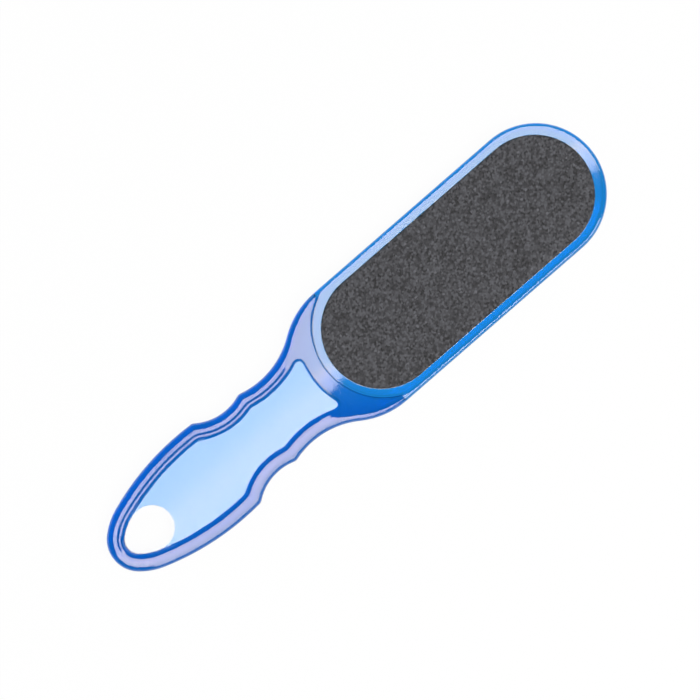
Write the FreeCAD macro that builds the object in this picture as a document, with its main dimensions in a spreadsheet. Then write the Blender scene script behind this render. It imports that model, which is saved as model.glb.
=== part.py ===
"""Double-sided foot file: a one-piece plastic frame with an abrasive sheet stuck to each face.

The frame lies flat. +X runs from the butt of the handle to the tip of the head, +Z points up out of the
coarse face, and the origin is under the middle of the file, on the surface that it rests on. Every piece
is drawn about the frame's middle plane and then lifted by half the frame's thickness.
"""
import FreeCAD, Part
import enum
import math
import os

import Sketcher

# Driving dimensions, in millimetres, with angles in degrees
SIZES = {
    # Whole file, and the handle from its butt to the near end of the head
    "overall_length": 221.4,
    "handle_length": 100.2,
    # Head, a plate with round ends and a border that slopes down to the sheet: its width is given along
    # the sides, at the near end and at the tip
    "head_width": 50.0,
    "head_step": 0.95,
    "head_step_run": 1.2,
    "head_edge_radius": 1.6,
    "border_width": 3.7,
    "near_border": 2.75,
    "tip_border": 4.35,
    "border_drop": 0.25,
    # Handle outline: the front groove is measured back from the near end of the head, the rear groove
    # from the front one, and the widest place of the grip forwards from halfway between the butt and
    # the rear groove
    "nose_radius": 11.4,
    "nose_sweep": 48.0,
    "cheek_radius": 24.0,
    "grip_width": 37.6,
    "grip_reach": 12.1,
    "rear_groove_radius": 19.0,
    "rear_groove_waist": 28.4,
    "rear_groove_reach": 15.8,
    "front_groove_radius": 30.4,
    "front_groove_waist": 28.4,
    "front_groove_reach": 20.2,
    "shoulder_radius": 30.0,
    "grip_corner_radius": 2.2,
    # Handle section, a rim with a low bead along its inner side, round a thinner web. The bead runs on
    # into the shoulders, and its flat lies between its slope and the rounding of the hollow
    "rim_thickness": 6.4,
    "rim_width": 6.2,
    "rim_edge_radius": 2.4,
    "rim_inner_radius": 1.2,
    "bead_height": 0.085,
    "bead_run": 0.8,
    "bead_flat": 0.04,
    "wall_run": 1.1,
    "web_thickness": 3.4,
    "web_corner_radius": 1.6,
    # Dished neck between the web and the head
    "neck_length": 5.97,
    "dish_radius": 300.0,
    "dish_depth": 0.47,
    "dish_slope": 2.3,
    # Hang hole at the butt
    "hole_reach": 25.6,
    "hole_ledge": 0.15,
    # Abrasive sheets
    "sheet_clearance": 0.12,
    "adhesive_thickness": 0.3,
    "backing_thickness": 0.75,
    "coarse_grit_thickness": 0.45,
    "fine_grit_thickness": 0.35,
}

# Places and sizes that follow from the driving dimensions
HEAD_RADIUS = "(sizes.head_width / 2)"
HEAD_END_X = "(sizes.handle_length - sizes.overall_length / 2)"
NEAR_X = f"({HEAD_END_X} + {HEAD_RADIUS})"
FAR_X = f"(sizes.overall_length / 2 - {HEAD_RADIUS})"
SHEET_RADIUS = f"({HEAD_RADIUS} - sizes.border_width)"
SHEET_NEAR_X = f"({HEAD_END_X} + sizes.near_border + {SHEET_RADIUS})"
SHEET_FAR_X = f"(sizes.overall_length / 2 - sizes.tip_border - {SHEET_RADIUS})"
HALF_RIM = "(sizes.rim_thickness / 2)"
HALF_PLATE = f"({HALF_RIM} - sizes.bead_height)"
HALF_WEB = "(sizes.web_thickness / 2)"
HALF_HEAD = f"({HALF_RIM} - sizes.head_step)"
MOUTH_INSET = "(sizes.rim_width - sizes.wall_run)"
WALL_ANGLE = f"atan(({HALF_RIM} - {HALF_WEB}) / sizes.wall_run)"
MOUTH_ROUNDING = f"(sizes.rim_inner_radius * tan({WALL_ANGLE} / 2))"
CREST_INSET = f"({MOUTH_INSET} - {MOUTH_ROUNDING} - sizes.bead_flat)"
BEAD_INSET = f"({CREST_INSET} - sizes.bead_run)"
NOSE_X = "(sizes.nose_radius - sizes.overall_length / 2)"
FRONT_X = f"({HEAD_END_X} - sizes.front_groove_reach)"
REAR_X = f"({FRONT_X} - sizes.rear_groove_reach)"
GRIP_X = f"(({REAR_X} - sizes.overall_length / 2) / 2 + sizes.grip_reach)"
CHEEK_OFFSET = "(sizes.cheek_radius - sizes.nose_radius)"
CHEEK_X = f"({NOSE_X} + {CHEEK_OFFSET} * cos(sizes.nose_sweep * 1 deg))"
CHEEK_Y = f"(0 - {CHEEK_OFFSET} * sin(sizes.nose_sweep * 1 deg))"
CHEEK_TO_GRIP = f"(sizes.grip_width / 2 - {CHEEK_Y})"
SIDE_RADIUS = (
    f"((({GRIP_X} - {CHEEK_X})^2 + {CHEEK_TO_GRIP}^2 - sizes.cheek_radius^2)"
    f" / (2 * ({CHEEK_TO_GRIP} - sizes.cheek_radius)))"
)
SIDE_Y = f"(sizes.grip_width / 2 - {SIDE_RADIUS})"
REAR_Y = "(sizes.rear_groove_waist / 2 + sizes.rear_groove_radius)"
FRONT_Y = "(sizes.front_groove_waist / 2 + sizes.front_groove_radius)"
GRIP_CORNER_X = f"(({GRIP_X} + {REAR_X}) / 2)"
PEAK_X = f"(({REAR_X} + {FRONT_X}) / 2)"
SHOULDER_Y = f"({HEAD_RADIUS} - sizes.shoulder_radius)"
SHOULDER_X = (
    f"({FRONT_X} + sqrt((sizes.front_groove_radius + sizes.shoulder_radius)^2"
    f" - ({FRONT_Y} - {SHOULDER_Y})^2))"
)
WEB_END_X = f"({HEAD_END_X} - sizes.neck_length)"
HOLE_INSET = "(sizes.rim_width + sizes.hole_ledge)"
HOLE_END_X = "(sizes.hole_reach - sizes.overall_length / 2)"
HOLE_CHEEK_GAP = f"(sizes.cheek_radius - {HOLE_INSET} - {HOLE_END_X})"
HOLE_X = f"(({CHEEK_X}^2 + {CHEEK_Y}^2 - {HOLE_CHEEK_GAP}^2) / (2 * ({HOLE_CHEEK_GAP} + {CHEEK_X})))"
HEAD_SPACE_WIDTH = f"({HEAD_RADIUS} + sizes.rim_width)"
HEAD_SPACE_X = f"({NEAR_X} + sizes.rim_width)"

# The two faces of the file, with the side of the middle plane that each is on
FACES = {"coarse": "1", "fine": "(0 - 1)"}

# Places or heights closer than this, in millimetres, are the same one
SAME = 1e-4

doc = FreeCAD.newDocument("foot_file")
sheet = doc.addObject("Spreadsheet::Sheet", "sizes")
for row, (name, value) in enumerate(SIZES.items(), start=1):
    sheet.set(f"A{row}", name)
    sheet.set(f"B{row}", str(value))
    sheet.setAlias(f"B{row}", name)
doc.recompute()


class Spot(enum.IntEnum):
    """The places on a curve that a sketch relation can name."""

    START = 1
    END = 2
    CENTRE = 3


def value_of(expression):
    """Return the number that an expression on the sheet comes to."""
    result = sheet.evalExpression(expression)
    return float(getattr(result, "Value", result))


class Circle:
    """A circle that an outline follows, its place and size given as expressions on the sheet.

    A bound circle keeps its centre, and a sized one its radius. Neighbours settle what is left.
    """

    def __init__(self, x, y, radius, bound=True, sized=True):
        self.x, self.y, self.radius = x, y, radius
        self.bound, self.sized = bound, sized
        self.centre = FreeCAD.Vector(value_of(x), value_of(y), 0)
        self.size = value_of(radius)

    def mirrored(self):
        """Return the same circle on the other side of the long axis."""
        return Circle(self.x, f"(0 - {self.y})", self.radius, self.bound, self.sized)


def rounding(first, second, inside_first, radius, about_x):
    """Return the free circle that rounds the corner where two circles cross, close to an X.

    The rounding lies outside the second circle, and inside or outside the first.
    """
    size = value_of(radius)
    first_gap = first.size - size if inside_first else first.size + size
    second_gap = second.size + size
    across = second.centre - first.centre
    along = (first_gap ** 2 - second_gap ** 2 + across.Length ** 2) / (2 * across.Length)
    rise = math.sqrt(first_gap ** 2 - along ** 2)
    direction = FreeCAD.Vector(across).normalize()
    normal = FreeCAD.Vector(-direction.y, direction.x, 0)
    corners = [first.centre + direction * along + normal * (sign * rise) for sign in (1, -1)]
    corner = min(corners, key=lambda place: abs(place.x - value_of(about_x)))
    return Circle(repr(corner.x), repr(corner.y), radius, bound=False)


def touch_point(first, second):
    """Return the point where two tangent circles touch."""
    large, small = (first, second) if first.size >= second.size else (second, first)
    return large.centre + (small.centre - large.centre).normalize() * large.size


def mirror_point(point):
    """Return a point on the other side of the long axis."""
    return FreeCAD.Vector(point.x, -point.y, 0)


class OutlineSketch:
    """Draws the curves of an outline in a sketch, joined and dimensioned from the sheet."""

    def __init__(self, body, name, height="0"):
        """Make a sketch on the body's own XY plane, at a height bound to an expression."""
        self.sketch = body.newObject("Sketcher::SketchObject", name)
        plane = next(item for item in body.Origin.OriginFeatures if item.Role == "XY_Plane")
        self.sketch.AttachmentSupport = [(plane, "")]
        self.sketch.MapMode = "FlatFace"
        self.sketch.setExpression("AttachmentOffset.Base.z", height)

    def bind(self, kind, *where, size):
        """Add a dimension and bind it to an expression."""
        index = self.sketch.addConstraint(Sketcher.Constraint(kind, *where, value_of(size)))
        self.sketch.setExpression(f"Constraints[{index}]", size)

    def relate(self, kind, *where):
        """Add a relation that has no size, such as tangent or vertical."""
        self.sketch.addConstraint(Sketcher.Constraint(kind, *where))

    def arc(self, circle, first, second, long_way=False):
        """Add the arc of a circle between two points, and return its two ends in that order."""
        start = math.atan2(first.y - circle.centre.y, first.x - circle.centre.x)
        stop = math.atan2(second.y - circle.centre.y, second.x - circle.centre.x)
        sweep = (stop - start + math.pi) % (2 * math.pi) - math.pi
        if long_way:
            sweep -= math.copysign(2 * math.pi, sweep)
        whole = Part.Circle(circle.centre, FreeCAD.Vector(0, 0, 1), circle.size)
        low, high = min(start, start + sweep), max(start, start + sweep)
        index = self.sketch.addGeometry(Part.ArcOfCircle(whole, low, high), False)
        if circle.sized:
            self.bind("Radius", index, size=circle.radius)
        if circle.bound:
            self.bind("DistanceX", index, Spot.CENTRE, size=circle.x)
            self.bind("DistanceY", index, Spot.CENTRE, size=circle.y)
        ends = ((index, Spot.START), (index, Spot.END))
        return ends if sweep > 0 else ends[::-1]

    def line(self, first, second, direction):
        """Add a straight line that keeps its direction, and return its two ends."""
        index = self.sketch.addGeometry(Part.LineSegment(first, second), False)
        if direction:
            self.relate(direction, index)
        return (index, Spot.START), (index, Spot.END)

    def chain(self, circles, entry, leave):
        """Add tangent arcs from an entry point to a leaving point, and return the ends of the chain."""
        points = [entry] + [touch_point(a, b) for a, b in zip(circles, circles[1:])] + [leave]
        arcs = [self.arc(*item) for item in zip(circles, points, points[1:])]
        for before, after in zip(arcs, arcs[1:]):
            self.relate("Tangent", *before[1], *after[0])
        return arcs[0][0], arcs[-1][1]

    def nose_and_sides(self, nose, uppers, leave):
        """Add a nose on the long axis and the same chain each side, and return where the chains end."""
        entry = touch_point(nose, uppers[0])
        upper = self.chain(uppers, entry, leave)
        lowers = [circle.mirrored() for circle in uppers]
        lower = self.chain(lowers, mirror_point(entry), mirror_point(leave))
        nose_ends = self.arc(nose, mirror_point(entry), entry)
        self.relate("Tangent", *nose_ends[0], *lower[0])
        self.relate("Tangent", *nose_ends[1], *upper[0])
        return upper[1], lower[1]

    def end_arc(self, end, upper, lower, leave, long_way=False):
        """Close two chains with an arc on the long axis that is tangent to both."""
        ends = self.arc(end, leave, mirror_point(leave), long_way)
        self.relate("Tangent", *upper, *ends[0])
        self.relate("Tangent", *lower, *ends[1])
        return ends[0][0]

    def square_end(self, upper, lower, corner, end_x, relation):
        """Close an outline with straight sides and a square end, from two corners that it has."""
        far_corner = FreeCAD.Vector(value_of(end_x), corner.y, 0)
        closing = self.line(far_corner, mirror_point(far_corner), "Vertical")
        upper_side = self.line(corner, far_corner, "Horizontal")
        lower_side = self.line(mirror_point(corner), mirror_point(far_corner), "Horizontal")
        for before, side, after in ((upper, upper_side, closing[0]), (lower, lower_side, closing[1])):
            self.relate(relation, *before, *side[0])
            self.relate("Coincident", *side[1], *after)
        self.bind("DistanceX", *closing[0], size=end_x)

    def head_corners(self, half_width, run="0"):
        """Add the head's round near end and square steps, set back by a run, and return the corners."""
        near = Circle(NEAR_X, "0", f"({HEAD_RADIUS} + {run})")
        corner = FreeCAD.Vector(value_of(f"{SHOULDER_X} - {run}"), value_of(half_width), 0)
        meet = FreeCAD.Vector(corner.x, math.sqrt(near.size ** 2 - (near.centre.x - corner.x) ** 2), 0)
        near_ends = self.arc(near, meet, mirror_point(meet))
        upper = self.line(corner, meet, "Vertical")
        lower = self.line(mirror_point(corner), mirror_point(meet), "Vertical")
        self.relate("Coincident", *upper[1], *near_ends[0])
        self.relate("Coincident", *lower[1], *near_ends[1])
        return upper[0], lower[0], corner


def handle_circles(inset):
    """Return the circles of the handle's outline from butt to front groove, set in by a distance."""
    nose = Circle(NOSE_X, "0", f"(sizes.nose_radius - {inset})")
    cheek = Circle(CHEEK_X, CHEEK_Y, f"(sizes.cheek_radius - {inset})", bound=False)
    side = Circle(GRIP_X, SIDE_Y, f"({SIDE_RADIUS} - {inset})")
    rear = Circle(REAR_X, REAR_Y, f"(sizes.rear_groove_radius + {inset})")
    front = Circle(FRONT_X, FRONT_Y, f"(sizes.front_groove_radius + {inset})")
    return nose, cheek, side, rear, front


def inner_corner(inset):
    """Return the radius of the corners of a line set in from the handle's outline, parallel to the web's."""
    return f"(sizes.web_corner_radius + sizes.rim_width - {inset})"


def draw_handle_outline(body, name, corner_radius, height="0", inset="0"):
    """Draw the handle's outline, or a line set in from it, carried on from the shoulders into the head."""
    outline = OutlineSketch(body, name, height)
    nose, cheek, side, rear, front = handle_circles(inset)
    grip_corner = rounding(side, rear, True, corner_radius, GRIP_CORNER_X)
    peak = rounding(rear, front, False, corner_radius, PEAK_X)
    shoulder = Circle(SHOULDER_X, SHOULDER_Y, f"(sizes.shoulder_radius - {inset})", bound=False)
    uppers = [cheek, side, grip_corner, rear, peak, front, shoulder]
    half_width = f"({HEAD_RADIUS} - {inset})"
    corner = FreeCAD.Vector(value_of(SHOULDER_X), value_of(half_width), 0)
    upper, lower = outline.nose_and_sides(nose, uppers, corner)
    outline.square_end(upper, lower, corner, NEAR_X, "Tangent")
    outline.bind("DistanceY", *upper, size=half_width)
    outline.bind("DistanceY", *lower, size=f"(0 - {half_width})")
    return outline.sketch


def draw_head_space(body, name, height="0", run="0"):
    """Draw the room that the head takes in the handle: its round near end, steps, and past its sides."""
    outline = OutlineSketch(body, name, height)
    upper, lower, corner = outline.head_corners(HEAD_SPACE_WIDTH, run)
    outline.square_end(upper, lower, corner, HEAD_SPACE_X, "Coincident")
    outline.bind("DistanceX", *upper, size=f"({SHOULDER_X} - {run})")
    outline.bind("DistanceX", *lower, size=f"({SHOULDER_X} - {run})")
    outline.bind("DistanceY", *upper, size=HEAD_SPACE_WIDTH)
    outline.bind("DistanceY", *lower, size=f"(0 - {HEAD_SPACE_WIDTH})")
    return outline.sketch


def draw_hollow_outline(body, name, height, inset):
    """Draw the mouth or floor of a hollow, at a distance in from the handle's outline."""
    outline = OutlineSketch(body, name, height)
    nose, cheek, side, rear, front = handle_circles(inset)
    end = Circle(NEAR_X, "0", f"({HEAD_RADIUS} + sizes.neck_length - sizes.rim_width + {inset})")
    corner = inner_corner(inset)
    grip_corner = rounding(side, rear, True, corner, GRIP_CORNER_X)
    peak = rounding(rear, front, False, corner, PEAK_X)
    end_corner = rounding(front, end, False, corner, WEB_END_X)
    uppers = [cheek, side, grip_corner, rear, peak, front, end_corner]
    leave = touch_point(end_corner, end)
    outline.end_arc(end, *outline.nose_and_sides(nose, uppers, leave), leave)
    return outline.sketch


def draw_hole_outline(body):
    """Draw the hang hole: it follows the rim round the butt, and its other end is round."""
    outline = OutlineSketch(body, "hole_outline")
    nose, cheek, *_ = handle_circles(HOLE_INSET)
    end = Circle(HOLE_X, "0", f"({HOLE_END_X} - {HOLE_X})", bound=False, sized=False)
    leave = touch_point(cheek, end)
    upper, lower = outline.nose_and_sides(nose, [cheek], leave)
    outline.bind("DistanceX", upper[0], Spot.CENTRE, size=CHEEK_X)
    outline.bind("DistanceX", lower[0], Spot.CENTRE, size=CHEEK_X)
    arc = outline.end_arc(end, upper, lower, leave, long_way=True)
    tip = outline.sketch.addGeometry(Part.Point(FreeCAD.Vector(value_of(HOLE_END_X), 0, 0)), True)
    outline.bind("DistanceX", tip, Spot.START, size=HOLE_END_X)
    outline.bind("DistanceY", tip, Spot.START, size="0")
    outline.relate("PointOnObject", tip, Spot.START, arc)
    return outline.sketch


def draw_head_outline(body):
    """Draw the head: straight sides, a round tip, and a round near end with square steps."""
    outline = OutlineSketch(body, "head_outline")
    upper_corner, lower_corner, corner = outline.head_corners(HEAD_RADIUS)
    far = Circle(FAR_X, "0", HEAD_RADIUS)
    shoulder = far.centre + FreeCAD.Vector(0, far.size, 0)
    upper = outline.line(corner, shoulder, "Horizontal")
    lower = outline.line(mirror_point(corner), mirror_point(shoulder), "Horizontal")
    far_ends = outline.arc(far, shoulder, mirror_point(shoulder))
    for side, step_end, far_end in (
        (upper, upper_corner, far_ends[0]),
        (lower, lower_corner, far_ends[1]),
    ):
        outline.relate("Coincident", *side[0], *step_end)
        outline.relate("Tangent", *side[1], *far_end)
        outline.bind("DistanceX", *side[0], size=SHOULDER_X)
    return outline.sketch


def draw_stadium(body, name, height, radius, near_x=SHEET_NEAR_X, far_x=SHEET_FAR_X):
    """Draw a straight-sided outline with round ends, by default on the centres of the sheet's two ends."""
    outline = OutlineSketch(body, name, height)
    near, far = Circle(near_x, "0", radius), Circle(far_x, "0", radius)
    near_top, far_top = (circle.centre + FreeCAD.Vector(0, circle.size, 0) for circle in (near, far))
    far_ends = outline.arc(far, far_top, mirror_point(far_top))
    near_ends = outline.arc(near, mirror_point(near_top), near_top)
    upper = outline.line(near_top, far_top, None)
    lower = outline.line(mirror_point(near_top), mirror_point(far_top), None)
    outline.relate("Tangent", *upper[0], *near_ends[1])
    outline.relate("Tangent", *upper[1], *far_ends[0])
    outline.relate("Tangent", *lower[0], *near_ends[0])
    outline.relate("Tangent", *lower[1], *far_ends[1])
    return outline.sketch


def extrude(body, name, sketch, length, symmetric=False):
    """Pad a sketch upwards, or to both sides of it."""
    pad = body.newObject("PartDesign::Pad", name)
    pad.Profile = sketch
    pad.SideType = "Symmetric" if symmetric else "One side"
    pad.setExpression("Length", length)
    doc.recompute()
    return pad


def cut_through(body, name, sketch):
    """Cut a sketch on the middle plane right through the handle."""
    before = body.Shape.Volume
    pocket = body.newObject("PartDesign::Pocket", name)
    pocket.Profile = sketch
    pocket.SideType = "Symmetric"
    pocket.setExpression("Length", "sizes.rim_thickness")
    doc.recompute()
    if pocket.Shape.Volume >= before:
        raise RuntimeError(f"{name} cut nothing")


def loft_between(body, name, wide, narrow, kind="Subtractive"):
    """Cut or add the straight-walled form between two outlines at different heights."""
    loft = body.newObject(f"PartDesign::{kind}Loft", name)
    loft.Profile = wide
    loft.Sections = [narrow]
    loft.Ruled = True
    doc.recompute()
    return loft


def round_edges(body, name, base, radius, wanted):
    """Round the edges of a feature that a test picks out."""
    edges = [f"Edge{index}" for index, edge in enumerate(base.Shape.Edges, start=1) if wanted(edge)]
    fillet = body.newObject("PartDesign::Fillet", name)
    fillet.Base = (base, edges)
    fillet.setExpression("Radius", radius)
    doc.recompute()
    return fillet


def lies_at(edge, height):
    """Say whether an edge lies flat at a height above or below the middle plane."""
    box = edge.BoundBox
    return box.ZLength < SAME and abs(abs(box.ZMin) - height) < SAME


def near_end_arc(edge):
    """Say whether an edge runs round the centre of the head's near end."""
    centre = getattr(edge.Curve, "Center", None)
    return centre is not None and math.hypot(centre.x - value_of(NEAR_X), centre.y) < SAME


def make_handle():
    """Return the body of the handle: rim, web, hollows and hang hole, before the neck is dished."""
    body = doc.addObject("PartDesign::Body", "handle_body")
    outline = draw_handle_outline(body, "handle_outline", "sizes.grip_corner_radius")
    plate = extrude(body, "handle_plate", outline, f"2 * {HALF_PLATE}", symmetric=True)
    half_rim, half_plate, square_end = value_of(HALF_RIM), value_of(HALF_PLATE), value_of(NEAR_X)

    def outer_edge(edge):
        return lies_at(edge, half_plate) and edge.BoundBox.XMin < square_end - SAME

    round_edges(body, "rim_edge", plate, "sizes.rim_edge_radius", outer_edge)
    for face, sign in FACES.items():
        edges = [
            draw_handle_outline(body, f"{face}_bead_{edge}", inner_corner(inset), f"{half} * {sign}", inset)
            for edge, half, inset in (("foot", HALF_PLATE, BEAD_INSET), ("crest", HALF_RIM, CREST_INSET))
        ]
        loft_between(body, f"{face}_bead", *edges, kind="Additive")
    cut_through(body, "head_space", draw_head_space(body, "head_space_outline"))
    for face, sign in FACES.items():
        rim_top, web_top, head_top = (f"{half} * {sign}" for half in (HALF_RIM, HALF_WEB, HALF_HEAD))
        step_top = draw_head_space(body, f"{face}_step_top", rim_top, "sizes.head_step_run")
        step_foot = draw_head_space(body, f"{face}_step_foot", head_top)
        loft_between(body, f"{face}_step", step_top, step_foot)
        mouth = draw_hollow_outline(body, f"{face}_mouth", rim_top, MOUTH_INSET)
        floor = draw_hollow_outline(body, f"{face}_floor", web_top, "sizes.rim_width")
        hollow = loft_between(body, f"{face}_hollow", mouth, floor)
    mouth_edges = {
        edge.hashCode()
        for face in hollow.Shape.Faces
        if abs(abs(face.CenterOfMass.z) - half_rim) < SAME
        for wire in face.Wires
        if not wire.isSame(face.OuterWire)
        for edge in wire.Edges
    }

    def mouth_edge(edge):
        return edge.hashCode() in mouth_edges

    round_edges(body, "rim_inner_edge", hollow, "sizes.rim_inner_radius", mouth_edge)
    cut_through(body, "hang_hole", draw_hole_outline(body))
    return body


def make_dish_tool(name, sign):
    """Return the large tilted cylinder whose underside dishes one face of the neck."""
    rise = f"tan(sizes.dish_slope * 1 deg) * ({WEB_END_X} - {FRONT_X})"
    start_height = f"({HALF_RIM} - sizes.dish_depth + {rise})"
    tool = doc.addObject("Part::Cylinder", name)
    tool.setExpression("Radius", "sizes.dish_radius")
    tool.setExpression("Height", f"{NEAR_X} - {FRONT_X}")
    tool.Placement.Rotation = FreeCAD.Rotation(FreeCAD.Vector(0, 1, 0), 90)
    tool.setExpression("Placement.Rotation.Angle", f"(90 + {sign} * sizes.dish_slope) * 1 deg")
    tool.setExpression("Placement.Base.x", f"{FRONT_X} + sizes.dish_radius * sin(sizes.dish_slope * 1 deg)")
    lift = f"({start_height} + sizes.dish_radius * cos(sizes.dish_slope * 1 deg))"
    tool.setExpression("Placement.Base.z", f"{sign} * {lift}")
    return tool


def make_head():
    """Return the body of the head: a plate with a sloped border and a seat for a sheet in each face."""
    body = doc.addObject("PartDesign::Body", "head_body")
    plate = extrude(body, "head_plate", draw_head_outline(body), f"2 * {HALF_HEAD}", symmetric=True)
    half_head, step_x = value_of(HALF_HEAD), value_of(SHOULDER_X)

    def outer_edge(edge):
        box = edge.BoundBox
        on_step = box.XLength < SAME and abs(box.XMin - step_x) < SAME
        return lies_at(edge, half_head) and not near_end_arc(edge) and not on_step

    round_edges(body, "head_edge", plate, "sizes.head_edge_radius", outer_edge)
    for face, sign in FACES.items():
        lip = f"({HALF_HEAD} - sizes.border_drop)"
        seat = f"({HALF_RIM} - {stack_height(face)})"
        crest = draw_stadium(body, f"{face}_crest", f"{HALF_HEAD} * {sign}", HEAD_RADIUS, NEAR_X, FAR_X)
        foot = draw_stadium(body, f"{face}_border_foot", f"{lip} * {sign}", SHEET_RADIUS)
        loft_between(body, f"{face}_border", crest, foot)
        pocket = body.newObject("PartDesign::Pocket", f"{face}_seat")
        pocket.Profile = draw_stadium(body, f"{face}_seat_outline", f"{lip} * {sign}", SHEET_RADIUS)
        pocket.Reversed = face == "fine"
        pocket.setExpression("Length", f"{lip} - {seat}")
        doc.recompute()
    return body


def stack_height(face):
    """Return the height of the whole abrasive sheet on one face, as an expression."""
    return f"(sizes.adhesive_thickness + sizes.backing_thickness + sizes.{face}_grit_thickness)"


def make_frame():
    """Return the one-piece frame: the handle with its neck dished, and the head."""
    dishes = doc.addObject("Part::Fuse", "dishes")
    dishes.Base = make_dish_tool("coarse_dish", FACES["coarse"])
    dishes.Tool = make_dish_tool("fine_dish", FACES["fine"])
    neck = doc.addObject("Part::Cut", "dished_handle")
    neck.Base = make_handle()
    neck.Tool = dishes
    frame = doc.addObject("Part::Fuse", "frame")
    frame.Base = neck
    frame.Tool = make_head()
    frame.Refine = True
    frame.Label = "handle_frame"
    frame.setExpression("Placement.Base.z", HALF_RIM)
    doc.recompute()
    return frame


def make_sheet(face):
    """Return the bodies of one abrasive sheet, from the seat outwards: adhesive, backing and grit."""
    bodies = []
    inner = f"({HALF_RIM} - {stack_height(face)})"
    for layer, size in (
        ("adhesive", "sizes.adhesive_thickness"),
        ("backing", "sizes.backing_thickness"),
        ("grit", f"sizes.{face}_grit_thickness"),
    ):
        outer = f"({inner} + {size})"
        body = doc.addObject("PartDesign::Body", f"{face}_{layer}")
        underside = inner if face == "coarse" else f"(0 - {outer})"
        radius = f"({SHEET_RADIUS} - sizes.sheet_clearance)"
        outline = draw_stadium(body, f"{face}_{layer}_outline", underside, radius)
        extrude(body, f"{face}_{layer}_layer", outline, size)
        body.setExpression("Placement.Base.z", HALF_RIM)
        bodies.append(body)
        inner = outer
    return bodies


def check(pieces):
    """Stop if any object failed, or if a piece is not one good solid."""
    doc.recompute()
    for item in doc.Objects:
        if "Invalid" in item.State or "Error" in item.State:
            raise RuntimeError(f"{item.Label} failed: {item.State}")
    for piece in pieces:
        if piece.Shape.isNull() or not piece.Shape.isValid() or len(piece.Shape.Solids) != 1:
            raise RuntimeError(f"{piece.Label} is not one valid solid")


pieces = [make_frame()]
for face in FACES:
    pieces += make_sheet(face)
check(pieces)
os.makedirs("parts", exist_ok=True)
for piece in pieces:
    piece.Shape.exportStep(f"parts/{piece.Label}.step")
    box = piece.Shape.optimalBoundingBox(True, False)
    extent = f"{box.XLength:.2f} x {box.YLength:.2f} x {box.ZLength:.2f} mm"
    print(f"{piece.Label}: {piece.Shape.Volume:.0f} mm3, {extent}")
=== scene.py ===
"""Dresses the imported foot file: tinted clear plastic, abrasive sheets, floor, lamps and camera.

Lengths are in metres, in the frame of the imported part: +X runs from the butt of the handle to the tip of
the head, +Z points up out of the coarse face, and the file lies on z = 0.
"""

import logging
import math
from collections.abc import Mapping, Sequence
from dataclasses import dataclass
from enum import Enum

import bmesh
import bpy
from mathutils import Matrix, Vector, noise


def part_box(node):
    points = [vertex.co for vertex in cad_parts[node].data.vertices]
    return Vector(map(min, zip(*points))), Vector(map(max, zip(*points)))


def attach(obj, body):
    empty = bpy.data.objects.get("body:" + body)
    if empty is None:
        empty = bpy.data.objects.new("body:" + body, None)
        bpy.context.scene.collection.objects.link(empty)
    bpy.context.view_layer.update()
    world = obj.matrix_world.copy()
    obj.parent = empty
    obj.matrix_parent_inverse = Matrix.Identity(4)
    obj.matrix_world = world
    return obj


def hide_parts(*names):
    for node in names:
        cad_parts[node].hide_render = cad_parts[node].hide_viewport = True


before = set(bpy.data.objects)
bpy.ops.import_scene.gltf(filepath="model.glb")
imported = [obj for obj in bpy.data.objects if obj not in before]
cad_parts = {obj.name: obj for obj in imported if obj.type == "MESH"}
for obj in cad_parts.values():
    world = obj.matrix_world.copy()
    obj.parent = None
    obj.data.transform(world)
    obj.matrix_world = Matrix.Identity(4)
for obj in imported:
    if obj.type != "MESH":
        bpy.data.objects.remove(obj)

LOG = logging.getLogger("foot_file")
MM = 0.001
SAME_PLACE = 0.001 * MM
BODY = "root"

Colour = tuple[float, float, float, float]
Place = tuple[float, float, float]
WHITE: Colour = (1.0, 1.0, 1.0, 1.0)


class MathStep(Enum):
    """The steps of shader maths that the finishes use."""

    ADD = "ADD"
    SUBTRACT = "SUBTRACT"
    MULTIPLY = "MULTIPLY"
    MAXIMUM = "MAXIMUM"


class Face(Enum):
    """The two faces of the file."""

    COARSE = "coarse"
    FINE = "fine"


class Value:
    """A number that changes over a surface, so that maths on it reads as maths."""

    def __init__(self, graph: "Graph", socket: bpy.types.NodeSocket) -> None:
        """Wrap an output socket of a graph's node."""
        self.graph = graph
        self.socket = socket

    def _step(self, step: MathStep, first: object, second: object) -> "Value":
        """Add one Math node.

        Args:
            step: what the node does.
            first: its first input, a Value or a number.
            second: its second input, a Value or a number.

        Returns:
            The node's result.
        """
        made = self.graph.node("ShaderNodeMath", {"operation": step.value}, {0: first, 1: second})
        return Value(self.graph, made.outputs[0])

    def __add__(self, other: object) -> "Value":
        """Return the sum."""
        return self._step(MathStep.ADD, self, other)

    def __radd__(self, other: object) -> "Value":
        """Return the sum, with a number on the left."""
        return self._step(MathStep.ADD, other, self)

    def __sub__(self, other: object) -> "Value":
        """Return the difference."""
        return self._step(MathStep.SUBTRACT, self, other)

    def __rsub__(self, other: object) -> "Value":
        """Return the difference, with a number on the left."""
        return self._step(MathStep.SUBTRACT, other, self)

    def __mul__(self, other: object) -> "Value":
        """Return the product."""
        return self._step(MathStep.MULTIPLY, self, other)

    def __rmul__(self, other: object) -> "Value":
        """Return the product, with a number on the left."""
        return self._step(MathStep.MULTIPLY, other, self)

    def __or__(self, other: object) -> "Value":
        """Return the larger of two masks."""
        return self._step(MathStep.MAXIMUM, self, other)

    def __ror__(self, other: object) -> "Value":
        """Return the larger of two masks, with a number on the left."""
        return self._step(MathStep.MAXIMUM, other, self)


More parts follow.
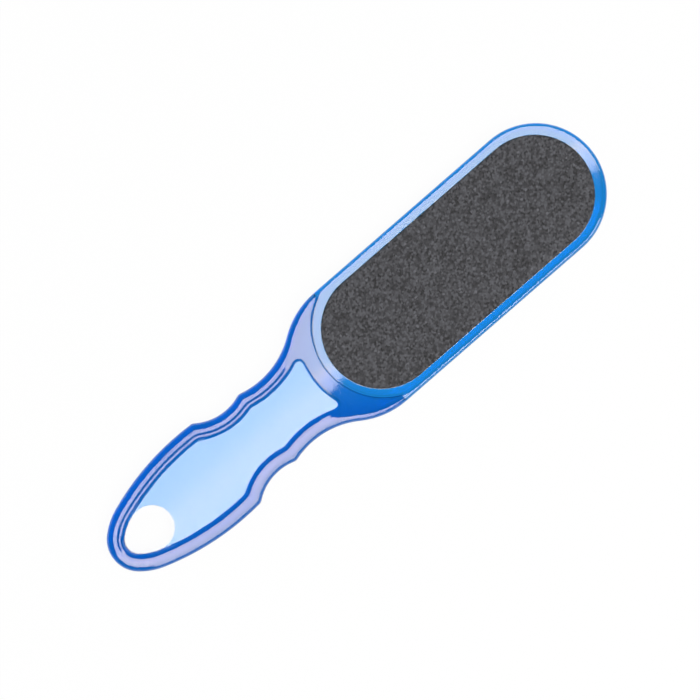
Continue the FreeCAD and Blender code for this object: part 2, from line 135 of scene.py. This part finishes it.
class Graph:
    """The node tree of one material or of the world."""

    def __init__(self, owner: bpy.types.Material | bpy.types.World) -> None:
        """Start an empty tree.

        Args:
            owner: the material or world that the tree belongs to.
        """
        self.owner = owner
        owner.use_nodes = True
        self.tree = owner.node_tree
        self.tree.nodes.clear()

    @classmethod
    def for_material(cls, name: str) -> "Graph":
        """Start the tree of a new material."""
        return cls(bpy.data.materials.new(name))

    def node(
        self,
        kind: str,
        settings: Mapping[str, object] | None = None,
        inputs: Mapping[str | int, object] | None = None,
    ) -> bpy.types.Node:
        """Add a node.

        Args:
            kind: the node's type.
            settings: its own properties, which are set first.
            inputs: a value or a link for each of its sockets, by name or place.

        Returns:
            The new node.
        """
        made = self.tree.nodes.new(kind)
        for name, value in (settings or {}).items():
            setattr(made, name, value)
        for name, value in (inputs or {}).items():
            socket = value.socket if isinstance(value, Value) else value
            if isinstance(socket, bpy.types.NodeSocket):
                self.tree.links.new(socket, made.inputs[name])
            else:
                made.inputs[name].default_value = socket
        return made

    def value(
        self,
        kind: str,
        output: str | int,
        settings: Mapping[str, object] | None = None,
        inputs: Mapping[str | int, object] | None = None,
    ) -> Value:
        """Add a node and return one of its outputs as a Value."""
        return Value(self, self.node(kind, settings, inputs).outputs[output])

    def mottle(self, size: float, detail: float) -> Value:
        """Add soft noise on the Object coordinates.

        Args:
            size: the width of its patches.
            detail: how many finer layers it has.

        Returns:
            The noise, from 0 to 1.
        """
        scale = 1 / size
        place = self.node("ShaderNodeTexCoord").outputs["Object"]
        mapped = self.node("ShaderNodeMapping", None, {"Vector": place, "Scale": (scale, scale, scale)})
        inputs = {"Vector": mapped.outputs["Vector"], "Scale": 1.0, "Detail": detail}
        return self.value("ShaderNodeTexNoise", 0, None, inputs)

    def blend(self, share: Value, low: Colour, high: Colour) -> bpy.types.NodeSocket:
        """Mix two colours.

        Args:
            share: how much of the second there is, from 0 to 1.
            low: the first colour.
            high: the second colour.

        Returns:
            The mixed colour.
        """
        # The colour sockets share their names with the other kinds, so they go by place.
        mixed = self.node("ShaderNodeMix", {"data_type": "RGBA"}, {0: share, 6: low, 7: high})
        return mixed.outputs[2]

    def mix(self, share: object, first: bpy.types.Node, second: bpy.types.Node) -> bpy.types.Node:
        """Mix two shaders, with a Value or socket for the share of the second."""
        return self.node("ShaderNodeMixShader", None, {0: share, 1: first.outputs[0], 2: second.outputs[0]})

    def finish(
        self, surface: bpy.types.Node, volume: bpy.types.Node | None = None
    ) -> bpy.types.Material | bpy.types.World:
        """Join the shaders to the output.

        Args:
            surface: the shader of the surface.
            volume: the shader of what is inside, if it is clear.

        Returns:
            The finished material or world.
        """
        inputs = {"Surface": surface.outputs[0]}
        if volume:
            inputs["Volume"] = volume.outputs[0]
        kind = "World" if isinstance(self.owner, bpy.types.World) else "Material"
        self.node(f"ShaderNodeOutput{kind}", None, inputs)
        return self.owner


@dataclass(frozen=True)
class TintedPlastic:
    """Clear moulded plastic with a dye in it, polished, with faint handling marks."""

    ior: float = 1.59
    roughness: float = 0.05
    haze: float = 0.06
    mark_size: float = 7 * MM
    mark_detail: float = 5.0
    absorb_per_mm: tuple[float, float, float] = (1.1, 0.345, 0.11)

    def material(self) -> bpy.types.Material:
        """Make the plastic.

        Returns:
            Its material.
        """
        graph = Graph.for_material("frame_plastic")
        density = max(self.absorb_per_mm)
        colour = tuple(1 - share / density for share in self.absorb_per_mm) + (1.0,)
        marks = graph.mottle(self.mark_size, self.mark_detail)
        surface = graph.node("ShaderNodeBsdfPrincipled", None, {
            "Base Color": WHITE,
            "Roughness": self.roughness + self.haze * (marks - 0.5),
            "IOR": self.ior,
            "Transmission Weight": 1.0,
        })
        volume = graph.node("ShaderNodeVolumeAbsorption", None, {"Color": colour, "Density": density / MM})
        return graph.finish(surface, volume)


@dataclass(frozen=True)
class GritCoat:
    """Dark mineral grains held in a resin coat."""

    name: str
    dark: Colour
    light: Colour
    roughness: float = 0.7
    gloss: float = 0.1

    def material(self) -> bpy.types.Material:
        """Make the coat, whose tone follows its grains, painted shade and painted glints included.

        Returns:
            Its material.
        """
        graph = Graph.for_material(self.name)
        # The grain tone holds each grain's own tone plus painted shade between grains and painted glints.
        tone = graph.value("ShaderNodeAttribute", "Fac", {"attribute_name": "grain_tone_and_painted_light"})
        surface = graph.node("ShaderNodeBsdfPrincipled", None, {
            "Base Color": graph.blend(tone, self.dark, self.light),
            "Roughness": self.roughness,
            "Specular IOR Level": self.gloss,
        })
        return graph.finish(surface)


COARSE_COAT = GritCoat(
    name="coarse_grit",
    dark=(0.008, 0.0085, 0.01, 1.0),
    light=(0.13, 0.133, 0.15, 1.0),
)
FINE_COAT = GritCoat(
    name="fine_grit",
    dark=(0.02, 0.02, 0.022, 1.0),
    light=(0.12, 0.12, 0.13, 1.0),
)


@dataclass(frozen=True)
class PlainCoat:
    """A thin inner layer, such as paper or adhesive, with a slight mottle."""

    name: str
    low: Colour
    high: Colour
    patch: float
    roughness: float
    detail: float = 4.0

    def material(self) -> bpy.types.Material:
        """Make the layer.

        Returns:
            Its material.
        """
        graph = Graph.for_material(self.name)
        surface = graph.node("ShaderNodeBsdfPrincipled", None, {
            "Base Color": graph.blend(graph.mottle(self.patch, self.detail), self.low, self.high),
            "Roughness": self.roughness,
        })
        return graph.finish(surface)


BACKING_PAPER = PlainCoat(
    name="backing_paper",
    low=(0.12, 0.11, 0.1, 1.0),
    high=(0.2, 0.19, 0.17, 1.0),
    patch=0.4 * MM,
    roughness=0.8,
)
ADHESIVE_FILM = PlainCoat(
    name="adhesive_film",
    low=(0.3, 0.27, 0.2, 1.0),
    high=(0.4, 0.37, 0.3, 1.0),
    patch=1.5 * MM,
    roughness=0.4,
)


@dataclass(frozen=True)
class BrightFloor:
    """A table that shows white to the camera, through plastic and in reflections, with a soft shadow."""

    shadow_share: float = 0.04
    paint: Colour = (0.95, 0.95, 0.95, 1.0)

    def material(self) -> bpy.types.Material:
        """Make the floor.

        Returns:
            Its material.
        """
        graph = Graph.for_material("table")
        path = graph.node("ShaderNodeLightPath")
        seen = Value(graph, path.outputs["Is Camera Ray"])
        seen = seen | Value(graph, path.outputs["Is Glossy Ray"])
        seen = seen | Value(graph, path.outputs["Is Transmission Ray"])
        diffuse = graph.node("ShaderNodeBsdfDiffuse", None, {"Color": self.paint})
        glow = graph.node("ShaderNodeEmission", None, {"Color": WHITE, "Strength": 1.0})
        return graph.finish(graph.mix(seen * (1 - self.shadow_share), diffuse, glow))


def add_piece(name: str, shape: bmesh.types.BMesh, material: bpy.types.Material) -> bpy.types.Object:
    """Make an object at the origin from a finished bmesh.

    Args:
        name: the piece's name.
        shape: its shape, which is freed.
        material: its finish.

    Returns:
        The new object.
    """
    mesh = bpy.data.meshes.new(name)
    shape.to_mesh(mesh)
    shape.free()
    mesh.materials.append(material)
    piece = bpy.data.objects.new(name, mesh)
    bpy.context.scene.collection.objects.link(piece)
    return piece


@dataclass
class PlasticFrame:
    """The one-piece frame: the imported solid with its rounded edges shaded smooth.

    Edges sharper than the crease stay sharp. Faces less than flat from level count as level, and those
    between flat and gentle are slopes, such as the dish of the neck.
    """

    finish: TintedPlastic
    node: str = "handle_frame"
    crease: float = math.radians(20)
    flat: float = math.radians(0.3)
    gentle: float = math.radians(6.8)
    flat_weight: float = 1e4

    def build(self) -> bpy.types.Object:
        """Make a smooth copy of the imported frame.

        Returns:
            The copy.
        """
        shape = bmesh.new()
        shape.from_mesh(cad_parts[self.node].data)
        bmesh.ops.remove_doubles(shape, verts=shape.verts, dist=SAME_PLACE)
        shape.normal_update()
        for face in shape.faces:
            face.smooth = True
        for edge in shape.edges:
            edge.smooth = edge.calc_face_angle(math.pi) < self.crease and not self._ends_slope(edge)
        normals = [self._normal(loop) for face in shape.faces for loop in face.loops]
        piece = add_piece("clear_frame", shape, self.finish.material())
        piece.data.normals_split_custom_set(normals)
        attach(piece, BODY)
        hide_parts(self.node)
        return piece

    @staticmethod
    def _tilt(face: bmesh.types.BMFace) -> float:
        """Return how far a face is from level, as an angle."""
        return math.acos(min(1.0, abs(face.normal.z)))

    def _ends_slope(self, edge: bmesh.types.BMEdge) -> bool:
        """Say whether an edge bounds a gentle slope, such as the dish of the neck or the bead."""
        first, second = (self.flat < self._tilt(face) < self.gentle for face in edge.link_faces)
        return first != second

    def _normal(self, loop: bmesh.types.BMLoop) -> Vector:
        """Return the smooth normal of a face's corner, in which level faces outweigh the rest.

        Args:
            loop: the corner.

        Returns:
            The mean normal of the faces that meet there without a crease between them.
        """
        met = {loop.face}
        waiting = [loop.face]
        while waiting:
            face = waiting.pop()
            for edge in face.edges:
                if edge.smooth and loop.vert in edge.verts:
                    fresh = [other for other in edge.link_faces if other not in met]
                    met.update(fresh)
                    waiting.extend(fresh)
        total = Vector()
        for face in met:
            weight = self.flat_weight if self._tilt(face) < self.flat else 1.0
            corner = next(item for item in face.loops if item.vert is loop.vert)
            total += face.normal * (weight * face.calc_area() * corner.calc_angle())
        return total.normalized()


@dataclass(frozen=True)
class Grains:
    """The shape and tone of a coat's grains: domes that lean at random, with painted shade low between them
    and a painted glint on a few.

    Size, relief and drift are lengths. Dome, dome_spread and lean are shares of the relief. The tone values
    and the painted glint are shares of the step from dark to light. The tone by height is painted shade that
    darkens the coat where it lies lower between grains, and the glint is a painted highlight on a given
    share of the grains.
    Shuffle spreads the grains' random numbers, and face_gap, in grains, keeps the two faces' patterns apart.
    """

    size: float
    relief: float
    dome: float = 0.45
    dome_spread: float = 0.4
    lean: float = 0.5
    tone_by_grain: float = 0.62
    painted_shade_by_height: float = 0.3
    tone_by_drift: float = 0.06
    drift: float = 5 * MM
    painted_glint: float = 0.35
    painted_glint_share: float = 0.06
    shuffle: float = 997
    face_gap: float = 7.3

    def crown_and_chance(self, place: Vector, outward: int) -> tuple[float, Vector]:
        """Look up the grain at a place.

        Args:
            place: the place on the sheet.
            outward: 1 on the coarse face and -1 on the fine one, so that the two differ.

        Returns:
            How high the grain stands there, from 0 to 1, and its own random numbers.
        """
        spot = Vector((place.x, place.y, outward * self.face_gap * self.size)) / self.size
        distances, centres = noise.voronoi(spot)
        chance = noise.cell_vector(centres[0] * self.shuffle)
        slope = (chance.x - 0.5) * (spot.x - centres[0].x) + (chance.y - 0.5) * (spot.y - centres[0].y)
        height = self.dome + self.dome_spread * chance.z
        crown = max(0.0, 1 - distances[0] ** 2) * height + self.lean * slope
        return min(max(crown, 0.0), 1.0), chance

    def tone(self, place: Vector, crown: float, chance: Vector) -> float:
        """Return the tone of the grain at a place, with painted shade low down and a painted glint on a few
        grains.

        Args:
            place: the place on the sheet.
            crown: how high the grain stands there.
            chance: the grain's random numbers.

        Returns:
            The tone, where 0 is dark and 1 is light.
        """
        # Painted highlight: a few grains are made lighter to stand for glints off their facets.
        painted_glint = self.painted_glint if chance.y > 1 - self.painted_glint_share else 0.0
        drift = self.tone_by_drift * noise.noise(place / self.drift)
        # The height term is painted shade: the coat is darker where it lies lower between grains.
        return self.tone_by_grain * chance.x + self.painted_shade_by_height * crown + drift + painted_glint


@dataclass
class AbrasiveSheet:
    """A sheet of coated abrasive: a coat of grains on paper, stuck down with adhesive."""

    face: Face
    coat: GritCoat
    grains: Grains
    paper: PlainCoat = BACKING_PAPER
    glue: PlainCoat = ADHESIVE_FILM
    pitch: float = 0.28 * MM
    edge_fade: float = 0.5 * MM

    def build(self) -> list[bpy.types.Object]:
        """Model the grit coat grain by grain, and dress the layers under it.

        Returns:
            The coat, the paper and the adhesive.
        """
        node = f"{self.face.value}_grit"
        low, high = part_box(node)
        radius = (high.y - low.y) / 2
        ends = (low.x + radius, high.x - radius)
        shape = self._flat_face(low, high, ends, radius)
        outward = 1 if self.face is Face.COARSE else -1
        outer, inner = (high.z, low.z) if outward > 0 else (low.z, high.z)
        self._raise_grains(shape, ends, radius, outer, outward)
        self._close(shape, inner)
        piece = add_piece(f"{node}_coat", shape, self.coat.material())
        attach(piece, BODY)
        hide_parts(node)
        return [piece, self._dress("backing", self.paper), self._dress("adhesive", self.glue)]

    def _dress(self, layer: str, finish: PlainCoat) -> bpy.types.Object:
        """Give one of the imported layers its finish.

        Args:
            layer: the layer's name, without its face.
            finish: its finish.

        Returns:
            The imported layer.
        """
        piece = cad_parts[f"{self.face.value}_{layer}"]
        piece.data.materials.clear()
        piece.data.materials.append(finish.material())
        return piece

    @staticmethod
    def _past_end(place: Vector, ends: tuple[float, float]) -> Vector:
        """Return how far a place lies from the straight line between the centres of the round ends."""
        return Vector((place.x - min(max(place.x, ends[0]), ends[1]), place.y))

    def _flat_face(
        self, low: Vector, high: Vector, ends: tuple[float, float], radius: float
    ) -> bmesh.types.BMesh:
        """Make a fine flat grid with round ends.

        Args:
            low: the low corner of the coat's box.
            high: the high corner of the coat's box.
            ends: the X of the centres of the round ends.
            radius: the radius of the round ends.

        Returns:
            The grid.
        """
        shape = bmesh.new()
        size = high - low
        place = Matrix.Translation((low + high) / 2) @ Matrix.Diagonal((size.x, size.y, 1.0, 1.0))
        bmesh.ops.create_grid(
            shape,
            x_segments=round(size.x / self.pitch),
            y_segments=round(size.y / self.pitch),
            size=0.5,
            matrix=place,
        )
        outside = [v for v in shape.verts if self._past_end(v.co, ends).length > radius + SAME_PLACE]
        bmesh.ops.delete(shape, geom=outside, context="VERTS")
        loose = [v for v in shape.verts if not v.link_faces]
        bmesh.ops.delete(shape, geom=loose, context="VERTS")
        for vert in shape.verts:
            if vert.is_boundary:
                away = self._past_end(vert.co, ends)
                step = away * (radius / away.length - 1)
                vert.co += Vector((step.x, step.y, 0))
        return shape

    def _raise_grains(
        self, shape: bmesh.types.BMesh, ends: tuple[float, float], radius: float, outer: float, outward: int
    ) -> None:
        """Push each point of the face to the height of its grain, and note the grain's tone, with its
        painted shade and glint.

        Args:
            shape: the flat face.
            ends: the X of the centres of the round ends.
            radius: the radius of the round ends.
            outer: the Z that the highest grains reach.
            outward: 1 on the coarse face and -1 on the fine one.
        """
        tone = shape.verts.layers.float.new("grain_tone_and_painted_light")
        for vert in shape.verts:
            crown, chance = self.grains.crown_and_chance(vert.co, outward)
            inside = (radius - self._past_end(vert.co, ends).length) / self.edge_fade
            crown *= min(1.0, inside)
            vert.co.z = outer - outward * self.grains.relief * (1 - crown)
            # The stored tone includes painted shade low between grains and painted glints on a few.
            vert[tone] = self.grains.tone(vert.co, crown, chance)
        for face in shape.faces:
            face.smooth = True

    def _close(self, shape: bmesh.types.BMesh, inner: float) -> None:
        """Close the face with sides down to the paper, and an underside.

        Args:
            shape: the face with its grains.
            inner: the Z of the paper.
        """
        rim = [edge for edge in shape.edges if edge.is_boundary]
        made = bmesh.ops.extrude_edge_only(shape, edges=rim)["geom"]
        for item in made:
            if isinstance(item, bmesh.types.BMVert):
                item.co.z = inner
        base = [item for item in made if isinstance(item, bmesh.types.BMEdge) and item.is_boundary]
        bmesh.ops.contextual_create(shape, geom=base)
        bmesh.ops.recalc_face_normals(shape, faces=shape.faces)


@dataclass(frozen=True)
class SoftBox:
    """A rectangular lamp, which either shows only as gloss or only lights what is dull."""

    name: str
    place: Place
    target: Place
    size: tuple[float, float]
    radiance: float
    tint: tuple[float, float, float] = (1.0, 1.0, 1.0)
    gloss_only: bool = True

    def build(self) -> bpy.types.Object:
        """Make the lamp.

        Returns:
            The lamp, which faces its target and is hidden from the camera.
        """
        data = bpy.data.lights.new(self.name, "AREA")
        data.shape = "RECTANGLE"
        data.size, data.size_y = self.size
        data.energy = self.radiance * math.pi * self.size[0] * self.size[1]
        data.color = self.tint
        lamp = bpy.data.objects.new(self.name, data)
        lamp.location = self.place
        lamp.rotation_mode = "QUATERNION"
        lamp.rotation_quaternion = (Vector(self.target) - Vector(self.place)).to_track_quat("-Z", "Y")
        lamp.visible_camera = False
        lamp.visible_diffuse = not self.gloss_only
        lamp.visible_glossy = self.gloss_only
        bpy.context.scene.collection.objects.link(lamp)
        return lamp


WARM = (1.0, 0.91, 0.78)
AMBER = (1.0, 0.6, 0.2)
SOFT_BOXES = (
    SoftBox(
        name="overhead",
        place=(0, -0.56, 1.6),
        target=(0, -0.56, 0),
        size=(2.4, 1.2),
        radiance=8.0,
        tint=WARM,
    ),
    SoftBox(
        name="strip",
        place=(0, -0.015, 1.59),
        target=(0, -0.015, 0),
        size=(2.4, 0.03),
        radiance=2.6,
        tint=AMBER,
    ),
    SoftBox(
        name="side",
        place=(0, -1.2, 1.125),
        target=(0, 0, 1.125),
        size=(1.7, 0.93),
        radiance=7.0,
        tint=WARM,
    ),
    SoftBox(
        name="side_edge",
        place=(0, -1.2, 0.56),
        target=(0, 0, 0.56),
        size=(1.7, 0.2),
        radiance=3.5,
        tint=WARM,
    ),
    SoftBox(
        name="key",
        place=(0.2, -0.9, 1.5),
        target=(0, 0, 0),
        size=(1.0, 1.0),
        radiance=7.0,
        gloss_only=False,
    ),
)


@dataclass
class Studio:
    """The table, the lamps and a camera that looks straight down."""

    lamps: Sequence[SoftBox] = SOFT_BOXES
    floor: BrightFloor = BrightFloor()
    floor_size: float = 3.0
    floor_drop: float = 0.2 * MM
    lens: float = 200.0
    sensor: float = 36.0
    view_width: float = 246.4 * MM
    view_centre: tuple[float, float] = (0.37 * MM, 1.52 * MM)
    turn: float = math.radians(41.012)
    focus_height: float = 3.2 * MM
    fill: float = 0.45
    gloss_fill: float = 0.05

    def build(self) -> None:
        """Make the table, world, lamps and camera."""
        self._table()
        self._world()
        for lamp in self.lamps:
            lamp.build()
        self._camera()
        bpy.context.scene.view_settings.view_transform = "Standard"

    def _table(self) -> None:
        """Make the table under the file."""
        shape = bmesh.new()
        place = Matrix.Translation((0, 0, -self.floor_drop))
        bmesh.ops.create_grid(shape, x_segments=1, y_segments=1, size=self.floor_size, matrix=place)
        add_piece("table", shape, self.floor.material())

    def _world(self) -> None:
        """Light the scene evenly from all round, with white behind it and little of it in gloss."""
        graph = Graph(bpy.data.worlds.new("studio"))
        path = graph.node("ShaderNodeLightPath")
        fill, back, dark = (
            graph.node("ShaderNodeBackground", None, {"Color": WHITE, "Strength": strength})
            for strength in (self.fill, 1.0, self.gloss_fill)
        )
        lit = graph.mix(path.outputs["Is Glossy Ray"], fill, dark)
        bpy.context.scene.world = graph.finish(graph.mix(path.outputs["Is Camera Ray"], lit, back))

    def _camera(self) -> None:
        """Make the camera that looks straight down, turned as in the photograph."""
        data = bpy.data.cameras.new("camera")
        data.sensor_width = self.sensor
        data.lens = self.lens
        distance = self.view_width / 2 * self.lens / (self.sensor / 2)
        camera = bpy.data.objects.new("camera", data)
        camera.location = (*self.view_centre, self.focus_height + distance)
        camera.rotation_euler = (0, 0, -self.turn)
        bpy.context.scene.collection.objects.link(camera)
        bpy.context.scene.camera = camera


def main() -> None:
    """Build the pieces and the studio, and log each piece's face count."""
    logging.basicConfig(level=logging.INFO)
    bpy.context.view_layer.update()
    sheets = (
        AbrasiveSheet(Face.COARSE, COARSE_COAT, Grains(size=0.72 * MM, relief=0.25 * MM)),
        AbrasiveSheet(Face.FINE, FINE_COAT, Grains(size=0.45 * MM, relief=0.12 * MM)),
    )
    pieces = [PlasticFrame(TintedPlastic()).build()]
    for sheet in sheets:
        pieces += sheet.build()
    for piece in pieces:
        LOG.info("%s: %d faces", piece.name, len(piece.data.polygons))
    Studio().build()


if __name__ == "__main__":
    main()
